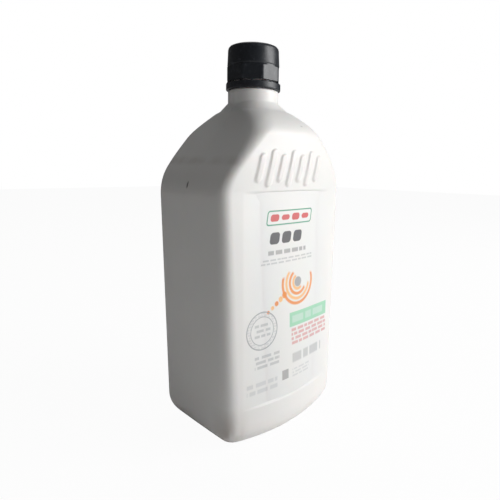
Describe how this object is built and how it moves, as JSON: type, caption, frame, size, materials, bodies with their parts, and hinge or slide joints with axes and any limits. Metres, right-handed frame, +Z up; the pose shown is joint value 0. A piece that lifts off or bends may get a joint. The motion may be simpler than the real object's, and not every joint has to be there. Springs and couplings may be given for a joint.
{
  "type": "motor oil bottle",
  "caption": "Blow-moulded oil bottle with a flared rectangular body, recessed label panels, domed shoulder, short neck and faceted screw cap with tamper band.",
  "frame": {"origin": "centre of the base, on the surface the bottle stands on", "axes": "+Z up through the cap, -Y out of the front label panel, +X towards the right-hand narrow side seen from the front"},
  "size_m": [0.0978, 0.0774, 0.23],
  "materials": {
    "bottle_plastic": "satin white blow-moulded polyethylene with printed label",
    "cap_plastic": "satin black moulded plastic",
    "liner_foam": "white closed-cell foam",
    "band_plastic": "satin black moulded plastic"
  },
  "bodies": {
    "bottle": {"bottle": "bottle_plastic", "tamper_band": "band_plastic"},
    "liner": {"cap_liner": "liner_foam"},
    "cap": {"cap": "cap_plastic"}
  },
  "joints": [
    {"name": "cap_lift", "type": "slide", "parent": "bottle", "child": "liner", "axis": [0, 0, 1], "range_m": [0, 0.022]},
    {"name": "cap_turn", "type": "hinge", "parent": "liner", "child": "cap", "pos_m": [0, 0, 0.22], "axis": [0, 0, 1], "range_deg": [0, 1872]}
  ],
  "couplings": [
    {"joint": "cap_lift", "follows": "cap_turn", "m_per_rad": 0.00067322}
  ]
}
